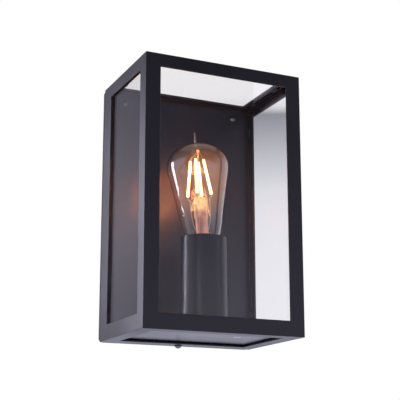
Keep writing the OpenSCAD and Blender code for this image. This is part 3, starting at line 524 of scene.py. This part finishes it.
def pane_glass(name, tint, refraction):
    """The glass of a pane, with the faint waves of its surface."""
    material = clear_glass(name, tint, refraction, passed=(0.92, 0.93, 0.93))
    add_relief(material, scale=9.0, depth=0.01 * mm)
    return material


window_glass = pane_glass("window glass", tint=(0.997, 1.0, 0.999), refraction=1.36)
roof_glass = pane_glass("roof glass", tint=(1.0, 0.998, 1.0), refraction=1.2)
print("panes:", window_glass.name, "and", roof_glass.name)

# %% [markdown]
# The lamp's glass is faintly amber, and over it lies a painted warm glow, which stands in for the
# sticks' light caught in the glass. A ball of that glow, centred on the sticks, gives it its place.
# The part of the glass that is seen flatly, towards its outline, takes the painted glow away again,
# so the rim stays clear.

# %% Bulb glass
stick_low, stick_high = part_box("filaments")
stick_middle = (stick_low + stick_high) / 2
painted_glow_reach = (0.045, 0.045, 0.055)
painted_glow_colour = (1.0, 0.33, 0.07)
painted_glow_strength = 0.2

bulb_glass = clear_glass("bulb glass", tint=(1.0, 0.975, 0.94), refraction=1.5,
                         passed=(0.95, 0.93, 0.9))
add_relief(bulb_glass, scale=60.0, depth=0.02 * mm)
tree, shader = opened(bulb_glass)
centred = add_node(tree, "ShaderNodeMapping",
                   {"Vector": own_place(tree), "Location": stick_middle, "Scale": painted_glow_reach},
                   vector_type="TEXTURE")
ball = add_node(tree, "ShaderNodeTexGradient", {"Vector": centred.outputs[0]},
                gradient_type="SPHERICAL")
rim = add_node(tree, "ShaderNodeLayerWeight", {"Blend": 0.4})
middle = calculate(tree, "SUBTRACT", ball.outputs["Fac"], rim.outputs["Facing"])
# Painted glow: the glass itself emits the sticks' warm light, strongest around them.
feed(tree, shader.inputs["Emission Color"], mix(tree, middle, (0, 0, 0), painted_glow_colour))
feed(tree, shader.inputs["Emission Strength"], painted_glow_strength)
print("haze centre, mm:", [round(v / mm, 1) for v in stick_middle])

# %% [markdown]
# The stem is dull glass, streaked along its length. Its streaks carry a pink tint and a painted
# pink glow, which stands in for the sticks' light. Its pinched end reaches up to the sticks and has
# painted golden glints, as the bead above them does, so the two looks change over at the pinch,
# just under the lantern's middle.

# %% Stem glass
glints_start = -5.0 * mm
glints_full = 0.0
stem_glow_strength = 0.72

stem_glass = clear_glass("stem glass", tint=(1.0, 0.86, 0.8), refraction=1.5,
                         passed=(0.9, 0.82, 0.75), roughness=0.3)
add_relief(stem_glass, scale=250.0, depth=0.2 * mm)
tree, shader = opened(stem_glass)
streaks = put_group(tree, grain, scale=430.0, depth=0.0, stretch=(1, 1, 0.05))["mask"]
drawn = change_range(tree, streaks, low=0.45, high=0.56)
feed(tree, shader.inputs["Base Color"], mix(tree, drawn, (0.62, 0.46, 0.4), (1.0, 0.88, 0.8)))
# Painted light: the stem emits a pink glow below the pinch and golden glints above it.
painted_pink_glow = mix(tree, drawn, (0.015, 0.007, 0.006), (0.16, 0.1, 0.085))
glint_specks = change_range(tree, cloud(tree, 520.0), low=0.45, high=0.56)
painted_gold_glints = mix(tree, glint_specks, (0.05, 0.035, 0.01), (0.75, 0.66, 0.27))
up = add_node(tree, "ShaderNodeSeparateXYZ", {0: own_place(tree)}).outputs["Z"]
glinting_part = change_range(tree, up, glints_start, glints_full)
feed(tree, shader.inputs["Emission Color"], mix(tree, glinting_part, painted_pink_glow, painted_gold_glints))
feed(tree, shader.inputs["Emission Strength"], stem_glow_strength)
print("stem nodes:", len(tree.nodes))

# %% [markdown]
# The glowing sticks are strips of diodes under yellow phosphor. They burn out to a warm white in
# the middle and turn golden where they are seen flatly. A small lamp of a deeper orange stands
# among them. It is there for its gleam in the pan, the panes and the coats, so it is hidden from
# the camera, from rays through glass and from matt surfaces.

# %% Filaments
golden = (0.42, 0.16, 0.025)
warm_whites = [(0.3, (1.0, 0.62, 0.27)), (0.7, (1.0, 0.78, 0.45))]
glow_offset = Vector((-3, 1, 8)) * mm

filament_glow = new_material("filament glow", {"Base Color": (0.9, 0.6, 0.15), "Roughness": 0.5,
                                               "Emission Strength": 7.0})
tree, shader = opened(filament_glow)
beads = colour_run(tree, cloud(tree, 900.0), warm_whites)
rim = add_node(tree, "ShaderNodeLayerWeight", {"Blend": 0.5})
feed(tree, shader.inputs["Emission Color"], mix(tree, rim.outputs["Facing"], beads, golden))

glow_data = bpy.data.lights.new("lamp glow", "POINT")
glow_data.color = (1.0, 0.27, 0.10)
glow_data.energy = 1.12
glow_data.shadow_soft_size = 9 * mm
glow = bpy.data.objects.new("lamp glow", glow_data)
glow.location = stick_middle + glow_offset
glow.visible_camera = False
glow.visible_transmission = False
glow.visible_diffuse = False
scene.collection.objects.link(glow)
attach(glow, "lamp")
print("glow, mm:", [round(v / mm, 1) for v in glow.location])

# %% [markdown]
# Every metal is the same recipe: bare metal whose colour and polish drift a little, under a fine
# grain. The sprung clips and the screws are blackened, the lamp's cap is nickel, the shell brass.
# The clips are cut from drawn strip, so their grain is pulled out upright.

# %% Metals
def metal(name, dark, light, smooth, rough, drift_scale, grain_scale=900.0,
          grain_depth=0.004 * mm, stretch=(1, 1, 1)):
    """Bare metal between two tones and two degrees of polish."""
    return shaded(name, dark, light, smooth, rough, drift_scale, grain_scale, grain_depth, stretch,
                  sockets={"Metallic": 1.0})


zinc_plate = metal("zinc plate", dark=(0.42, 0.43, 0.45), light=(0.6, 0.61, 0.62),
                   smooth=0.3, rough=0.5, drift_scale=120.0)
bright_zinc = metal("bright zinc", dark=(0.58, 0.58, 0.6), light=(0.7, 0.7, 0.71),
                    smooth=0.16, rough=0.3, drift_scale=150.0)
dark_steel = metal("dark steel", dark=(0.05, 0.05, 0.055), light=(0.09, 0.09, 0.095),
                   smooth=0.25, rough=0.4, drift_scale=200.0)
screw_steel = metal("screw steel", dark=(0.16, 0.16, 0.17), light=(0.24, 0.24, 0.25),
                    smooth=0.08, rough=0.16, drift_scale=200.0)
clip_steel = metal("clip steel", dark=(0.035, 0.035, 0.04), light=(0.06, 0.06, 0.065),
                   smooth=0.3, rough=0.42, drift_scale=150.0, grain_scale=1500.0,
                   grain_depth=0.006 * mm, stretch=(1, 1, 0.1))
brass = metal("brass", dark=(0.6, 0.42, 0.17), light=(0.74, 0.55, 0.27),
              smooth=0.2, rough=0.38, drift_scale=150.0)
cap_metal = metal("cap metal", dark=(0.62, 0.6, 0.56), light=(0.72, 0.7, 0.66),
                  smooth=0.22, rough=0.36, drift_scale=120.0)
solder = metal("solder", dark=(0.45, 0.45, 0.46), light=(0.6, 0.6, 0.61),
               smooth=0.2, rough=0.45, drift_scale=600.0, grain_scale=1200.0,
               grain_depth=0.02 * mm)
lead_wire = metal("lead wire", dark=(0.5, 0.44, 0.38), light=(0.66, 0.6, 0.52),
                  smooth=0.25, rough=0.4, drift_scale=400.0)
print("zinc plate to lead wire:", len(bpy.data.materials), "materials so far")

# %% [markdown]
# The remaining finishes are rubber, foam, plastics, cement, black glass and glazed porcelain. They
# differ in colour, in gloss and in how coarse their grain is.

# %% Rubber, plastics and ceramics
silicone = shaded("silicone", dark=(0.004, 0.004, 0.005), light=(0.008, 0.008, 0.009),
                  smooth=0.55, rough=0.7, drift_scale=80.0,
                  sockets={"Specular IOR Level": 0.2})
rubber = shaded("rubber", dark=(0.016, 0.016, 0.017), light=(0.03, 0.03, 0.031),
                smooth=0.5, rough=0.7, drift_scale=60.0, grain_depth=0.02 * mm)
foam = shaded("foam", dark=(0.012, 0.012, 0.013), light=(0.05, 0.05, 0.052),
              smooth=0.8, rough=0.95, drift_scale=900.0, grain_scale=1500.0,
              grain_depth=0.25 * mm)
porcelain = shaded("porcelain", dark=(0.78, 0.77, 0.73), light=(0.86, 0.85, 0.82),
                   smooth=0.14, rough=0.25, drift_scale=30.0, grain_scale=60.0,
                   grain_depth=0.05 * mm,
                   sockets={"Coat Weight": 0.5, "Coat Roughness": 0.08})
terminal_plastic = shaded("terminal plastic", dark=(0.72, 0.71, 0.66), light=(0.8, 0.79, 0.75),
                          smooth=0.4, rough=0.5, drift_scale=60.0, grain_scale=800.0,
                          grain_depth=0.01 * mm)
cement = shaded("cement", dark=(0.55, 0.52, 0.45), light=(0.72, 0.69, 0.62),
                smooth=0.8, rough=0.95, drift_scale=300.0, grain_depth=0.1 * mm)
black_glass = shaded("black glass", dark=(0.006, 0.006, 0.008), light=(0.012, 0.011, 0.013),
                     smooth=0.06, rough=0.16, drift_scale=60.0, grain_scale=200.0,
                     grain_depth=0.02 * mm)
print("silicone to black glass:", len(bpy.data.materials), "materials so far")

# %% [markdown]
# The three wires have sleeves of the same soft plastic. The earth wire's sleeve is green with
# yellow bands, which a wave along X lays over the green.

# %% Wire sleeves
def sleeve(name, dark, light):
    """The plastic round a wire."""
    return shaded(name, dark, light, smooth=0.35, rough=0.5, drift_scale=120.0, grain_scale=700.0,
                  grain_depth=0.01 * mm)


brown_sleeve = sleeve("brown sleeve", (0.1, 0.045, 0.022), (0.15, 0.07, 0.035))
blue_sleeve = sleeve("blue sleeve", (0.02, 0.07, 0.32), (0.035, 0.11, 0.42))
earth_sleeve = sleeve("earth sleeve", (0.05, 0.28, 0.05), (0.07, 0.34, 0.07))
tree, shader = opened(earth_sleeve)
bands = add_node(tree, "ShaderNodeTexWave", {"Vector": own_place(tree), "Scale": 160.0},
                 bands_direction="X")
half = calculate(tree, "GREATER_THAN", bands.outputs["Fac"], 0.5)
blend_over(tree, shader.inputs["Base Color"], half, (0.75, 0.6, 0.04))
print("sleeves:", [made.name for made in (brown_sleeve, blue_sleeve, earth_sleeve)])

# %% [markdown]
# The floor is white paper. Seen from the camera, or straight through a pane, it glows a little, so
# that it comes out nearly as white as the background and still keeps the lantern's shadow. Mirrored
# in the coats, it is a plain pale sheet.

# %% Floor paper
floor_glow = 0.66
paper = shaded("paper", dark=(0.88, 0.88, 0.88), light=(0.92, 0.92, 0.92), smooth=0.85,
               rough=0.95, drift_scale=2.0, sockets={"Emission Color": white})
tree, shader = opened(paper)
rays = add_node(tree, "ShaderNodeLightPath").outputs
looked_at = calculate(tree, "ADD", rays["Is Camera Ray"], rays["Is Transmission Ray"])
feed(tree, shader.inputs["Emission Strength"], calculate(tree, "MULTIPLY", looked_at, floor_glow))
sheen = add_node(tree, "ShaderNodeEmission", {"Color": (0.8, 0.79, 1.0), "Strength": 0.78})
swap_shader(tree, rays["Is Glossy Ray"], shader, sheen)
floor.data.materials.append(paper)
print("materials in all:", len(bpy.data.materials))

# %% [markdown]
# ## The lamp, turned anew
#
# The construction's lamp is made of facets and stands dead upright. A real one is blown, so its
# outline runs without a corner, and it is cemented a little askew in its cap. So its glass, its
# stem, its sticks and its wires are made again here, leaning some four degrees about the cap's rim.
# They are drawn in millimetres in the lamp's own frame: x across the view, y away from the viewer
# and z up from the cap's contact.

# %% The lamp's own frame
glass_low, glass_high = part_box("bulb_glass")
lamp_foot = (glass_low + glass_high) / 2
lamp_foot.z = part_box("cap_contact")[0].z
cap_rim = 27.0
lean = math.radians(-4.2)
same_corner = 0.001
swing = (Matrix.Translation((0, 0, cap_rim)) @ Matrix.Rotation(lean, 4, "Y")
         @ Matrix.Translation((0, 0, -cap_rim)))
lamp_frame = (Matrix.Translation(lamp_foot) @ Matrix.Rotation(-camera_turn, 4, "Z")
              @ Matrix.Scale(mm, 4) @ swing)


def on_lamp(name, mesh, material, *nodes):
    """A finished piece of the lamp, in place of its CAD nodes, that turns with the lamp."""
    bmesh.ops.remove_doubles(mesh, verts=mesh.verts, dist=same_corner)
    bmesh.ops.recalc_face_normals(mesh, faces=mesh.faces)
    bmesh.ops.transform(mesh, matrix=lamp_frame, verts=mesh.verts)
    piece = new_object(name, mesh, material)
    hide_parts(*nodes)
    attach(piece, "lamp")
    print(name, "faces:", len(piece.data.polygons))


print("lamp foot, mm:", [round(v / mm, 2) for v in lamp_foot])

# %% [markdown]
# Blown glass is a turned shape, and a turned shape is an outline spun about its axis. The outline
# is a curve through a few chosen points, and the wires follow such curves too.

# %% Curves and turning
def smooth_path(points, steps=6):
    """More points on a smooth curve through the given ones."""
    points = [Vector(p) for p in points]
    ends = [points[0] * 2 - points[1]] + points + [points[-1] * 2 - points[-2]]
    path = []
    for before, start, end, after in zip(ends, ends[1:], ends[2:], ends[3:]):
        for step in range(steps):
            t = step / steps
            path.append(0.5 * (2 * start + (end - before) * t
                               + (2 * before - 5 * start + 4 * end - after) * t * t
                               + (3 * start - 3 * end + after - before) * t ** 3))
    return path + [points[-1]]


def spin(mesh, outline, segments=72):
    """Turns an outline of (radius, height) about the lamp's axis."""
    corners = [mesh.verts.new((radius, 0, height)) for radius, height in outline]
    sides = [mesh.edges.new(pair) for pair in zip(corners, corners[1:])]
    bmesh.ops.spin(mesh, geom=corners + sides, cent=(0, 0, 0), axis=(0, 0, 1),
                   angle=2 * math.pi, steps=segments, use_merge=True)


# %% [markdown]
# The bulb's outline runs up the outside, over the dome with its drawn-out tip, and down the inside,
# so that one turn makes a closed shell with the wall of a blown bulb.

# %% The blown bulb
wall = 0.9
neck = 12.7
belly = 30.0
belly_height = 108.0
dome_rise = 23.0


def dome(radius, rise):
    """A quarter of an oval over the belly, in steps of four degrees, just short of its top."""
    angles = [math.radians(4 * k) for k in range(1, 22)]
    return [Vector((radius * math.cos(a), belly_height + rise * math.sin(a))) for a in angles]


flank = smooth_path([(neck, cap_rim), (15.6, 34.5), (18.9, 47), (20.7, 57), (22.6, 68),
                     (25.2, 81), (27.8, 94), (29.6, 103), (belly, belly_height)], steps=5)
tip = smooth_path([(1.6, 130.9), (1.25, 132.2), (1.0, 135), (0.85, 139), (0.95, 141.4),
                   (0.7, 142.7), (0.0, 143.0)], steps=3)
inside = [Vector((p.x - wall, p.y)) for p in flank] + dome(belly - wall, dome_rise - wall)
inside_top = Vector((0.0, belly_height + dome_rise - wall))
mesh = bmesh.new()
spin(mesh, [inside[0]] + flank + dome(belly, dome_rise) + tip)
spin(mesh, inside + [inside_top])
on_lamp("blown_bulb", mesh, bulb_glass, "bulb_glass")

# %% [markdown]
# The stem is a glass tube whose upper end is pinched flat about the wires while it is hot. The
# bead, high above it on the middle rod, is of the same glass and belongs to the same piece.

# %% The pinched stem
pinch_starts = 54.0
pinch_length = 8.0
pinch_widens = 0.05
pinch_flattens = 0.6
bead_side = 1.6
bead_height = 124.4
bead_radius = 1.5

mesh = bmesh.new()
stem_outline = smooth_path([(11.5, 19), (9.6, 23), (7.2, 29), (6.1, 37), (5.9, 48), (5.9, 56),
                            (6.0, 64), (5.9, 70), (5.2, 75.5), (3.4, 78.4), (0.0, 79.2)], steps=4)
spin(mesh, stem_outline, segments=40)
for corner in mesh.verts:
    pinch = min(max((corner.co.z - pinch_starts) / pinch_length, 0.0), 1.0)
    pinch = pinch * pinch * (3 - 2 * pinch)
    corner.co.x *= 1 + pinch_widens * pinch
    corner.co.y *= 1 - pinch_flattens * pinch
bmesh.ops.create_icosphere(mesh, subdivisions=3, radius=bead_radius,
                           matrix=Matrix.Translation((bead_side, 0, bead_height)))
on_lamp("pinched_stem", mesh, stem_glass, "glass_stem")

# %% [markdown]
# Four sticks hang in a cage that is narrow at the top. Each is a straight wire, only thicker, so
# one helper makes the sticks and the wires: a circle at every point of the path, square to it, and
# a bridge from each circle to the next.

# %% The glowing sticks
def wire(mesh, points, radius, sides=10):
    """A round wire along points, closed at both ends."""
    points = [Vector(p) for p in points]
    last = len(points) - 1
    rings = []
    for index, point in enumerate(points):
        along = (points[min(index + 1, last)] - points[max(index - 1, 0)]).normalized()
        across = along.cross((0, 1, 0.01)).normalized()
        square = Matrix((across.cross(along), across, along)).transposed().to_4x4()
        circle = bmesh.ops.create_circle(mesh, cap_ends=index in (0, last), segments=sides,
                                         radius=radius, matrix=Matrix.Translation(point) @ square)
        rings.append(dict.fromkeys(edge for corner in circle["verts"]
                                   for edge in corner.link_edges))
    for low, high in zip(rings, rings[1:]):
        bmesh.ops.bridge_loops(mesh, edges=[*low, *high])


stick_radius = 1.3
top_reach, top_height = 6.5, 114.6
foot_reach, foot_height = 11.6, 79.5
stick_angles = [math.radians(90 * k - 12) for k in range(4)]
stick_ways = [(math.cos(a), math.sin(a)) for a in stick_angles]

mesh = bmesh.new()
for x, y in stick_ways:
    top = (top_reach * x, top_reach * y, top_height)
    foot = (foot_reach * x, foot_reach * y, foot_height)
    wire(mesh, [top, foot], stick_radius, sides=16)
on_lamp("glowing_sticks", mesh, filament_glow, "filaments")

# %% [markdown]
# Thin wires carry the sticks: from the pinch to their lower ends, and from the glass bead on the
# middle rod to their upper ends. Two more run down beside the stem and enter it lower.

# %% Rod and wires
rod_radius = 0.45
hook_radius = 0.2
lead_radius = 0.3

mesh = bmesh.new()
wire(mesh, smooth_path([(0, 0, 70), (0, 0, 100), (0.4, 0, 114), (bead_side, 0, 124)]), rod_radius)
for x, y in stick_ways:
    wire(mesh, smooth_path([(bead_side, 0, 123.9), (1.4 + 2.2 * x, 2.2 * y, 121.4),
                            (5.2 * x, 5.2 * y, 117.6), (6.4 * x, 6.4 * y, 115.2),
                            (6.6 * x, 6.6 * y, 113.8)]), hook_radius)
    wire(mesh, smooth_path([(11.4 * x, 11.4 * y, 80.8), (11.7 * x, 11.7 * y, 77.6),
                            (9.0 * x, 9.0 * y, 74.6), (5.6 * x, 2.2 * y, 72.2),
                            (5.0 * x, 0.9 * y, 68.0)]), lead_radius)
for side in (-1, 1):
    wire(mesh, smooth_path([(9.6 * side, 0, 75.2), (9.3 * side, 0, 68), (8.6 * side, 0, 56),
                            (6.2 * side, 0, 46), (2.2 * side, 0, 40)]), lead_radius)
on_lamp("stick_wires", mesh, lead_wire, "filament_leads")

# %% [markdown]
# ## Finishes on the construction
#
# Every CAD node shows its finish from here. The four nodes of the lamp that were made anew get
# theirs too, because they are still there, hidden.

# %% Finishes
FINISHES = {
    frame_coat: ["front_frame", "left_frame", "right_frame", "top_frame", "bottom_frame"],
    pan_coat: ["back_pan"],
    shelf_coat: ["lamp_shelf"],
    cover_coat: ["socket_cover"],
    window_glass: ["front_glass", "left_glass", "right_glass"],
    roof_glass: ["top_glass"],
    silicone: ["front_seal", "left_seal", "right_seal", "top_seal"],
    clip_steel: ["glass_clips"],
    foam: ["wall_gasket"],
    zinc_plate: ["wall_bracket", "bracket_nuts", "captive_nut", "socket_base", "threaded_tube",
                 "tube_nuts"],
    dark_steel: ["shelf_rivets"],
    screw_steel: ["plate_screws", "cover_screw"],
    rubber: ["cable_grommet", "cover_washer"],
    bright_zinc: ["earth_screw", "earth_tag", "earth_nut"],
    brass: ["thread_shell", "centre_contact", "terminal_screws"],
    porcelain: ["lampholder"],
    terminal_plastic: ["terminal_block"],
    brown_sleeve: ["brown_wire"],
    blue_sleeve: ["blue_wire"],
    earth_sleeve: ["earth_wire"],
    solder: ["cap_contact"],
    black_glass: ["cap_insulator"],
    cap_metal: ["lamp_cap"],
    cement: ["cap_cement"],
    bulb_glass: ["bulb_glass"],
    stem_glass: ["glass_stem"],
    filament_glow: ["filaments"],
    lead_wire: ["filament_leads"],
}

for material, names in FINISHES.items():
    for name in names:
        cad_nodes[name].data.materials.clear()
        cad_nodes[name].data.materials.append(material)
print("nodes with a finish:", sum(len(names) for names in FINISHES.values()), "of", len(cad_nodes))

# %% [markdown]
# The sheet metal, the glass and the mouldings also get a weld and a bevel as modifiers. Their
# meshes arrive as loose triangles with knife edges, and a real edge has a small round on it that
# catches the light. Two mitred panels that meet show a fine groove because of it.

# %% Soft edges
ROUNDED = {
    0.35 * mm: FINISHES[frame_coat],
    0.3 * mm: [*FINISHES[window_glass], *FINISHES[roof_glass], "back_pan", "terminal_block"],
    0.4 * mm: ["wall_gasket"],
    0.15 * mm: ["glass_clips", "centre_contact"],
    0.1 * mm: ["earth_tag"],
}
loose_corners = 0.005 * mm
sharp_edge = math.radians(35)


def soften(name, radius):
    """Rounds the sharp edges of a CAD node with modifiers, which leave its mesh as it is."""
    piece = cad_nodes[name]
    weld = piece.modifiers.new("weld", "WELD")
    weld.merge_threshold = loose_corners
    bevel = piece.modifiers.new("round", "BEVEL")
    bevel.width = radius
    bevel.segments = 3
    bevel.limit_method = "ANGLE"
    bevel.angle_limit = sharp_edge
    bevel.harden_normals = True


for radius, names in ROUNDED.items():
    for name in names:
        soften(name, radius)
print("nodes with soft edges:", sum(len(names) for names in ROUNDED.values()))
